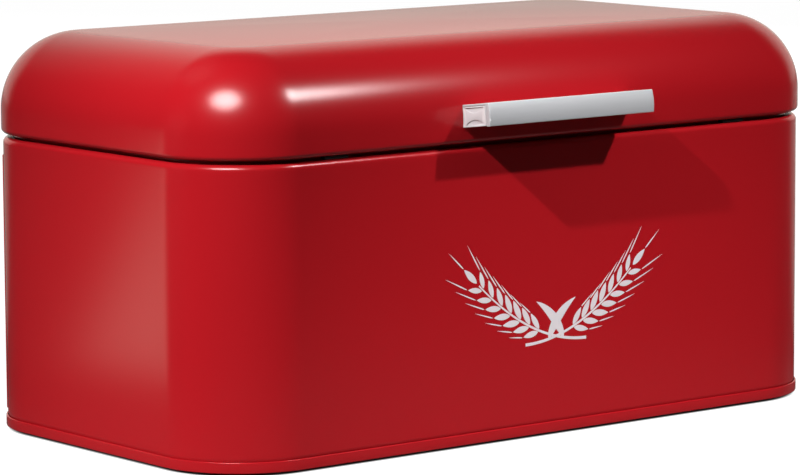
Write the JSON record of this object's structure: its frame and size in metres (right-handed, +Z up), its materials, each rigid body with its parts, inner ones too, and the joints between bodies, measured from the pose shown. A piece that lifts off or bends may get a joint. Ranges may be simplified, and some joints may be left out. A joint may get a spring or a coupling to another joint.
{
  "type": "bread box",
  "caption": "Retro sheet-steel bread box with round corners, a domed lid hinged at the back and a bar handle on its front.",
  "frame": {"origin": "on the surface the box stands on, under the middle of its overall width and depth, handle and hinges included", "axes": "+X along the long side to the right as seen from the front, +Y from the front with the handle to the back with the hinges, +Z up"},
  "size_m": [0.3416, 0.21, 0.1723],
  "materials": {
    "red_paint": "satin red powder coat on sheet steel",
    "satin_aluminium": "satin anodised strip",
    "grey_plastic": "light warm grey, fine matt",
    "zinc_steel": "zinc plated",
    "black_rubber": "matt black",
    "pale_print": "pale grey screen print on the paint"
  },
  "bodies": {
    "box": {"body_shell": "red_paint", "base_pan": "red_paint", "foot_front_left": "black_rubber", "foot_front_right": "black_rubber", "foot_rear_left": "black_rubber", "foot_rear_right": "black_rubber", "lid_buffer_left": "black_rubber", "lid_buffer_right": "black_rubber", "hinge_leaf_body_left": "zinc_steel", "hinge_leaf_body_right": "zinc_steel", "hinge_pin_left": "zinc_steel", "hinge_pin_right": "zinc_steel", "rivet_body_1": "zinc_steel", "rivet_body_2": "zinc_steel", "rivet_body_3": "zinc_steel", "rivet_body_4": "zinc_steel"},
    "lid": {"lid_shell": "red_paint", "handle_bar": "satin_aluminium", "handle_post_left": "grey_plastic", "handle_post_right": "grey_plastic", "handle_washer_left": "zinc_steel", "handle_washer_right": "zinc_steel", "handle_screw_left": "zinc_steel", "handle_screw_right": "zinc_steel", "hinge_leaf_lid_left": "zinc_steel", "hinge_leaf_lid_right": "zinc_steel", "rivet_lid_1": "zinc_steel", "rivet_lid_2": "zinc_steel", "rivet_lid_3": "zinc_steel", "rivet_lid_4": "zinc_steel"}
  },
  "joints": [
    {"name": "lid_hinge", "type": "hinge", "parent": "box", "child": "lid", "pos_m": [0, 0.10087, 0.1275], "axis": [-1, 0, 0], "range_deg": [0, 100]}
  ]
}
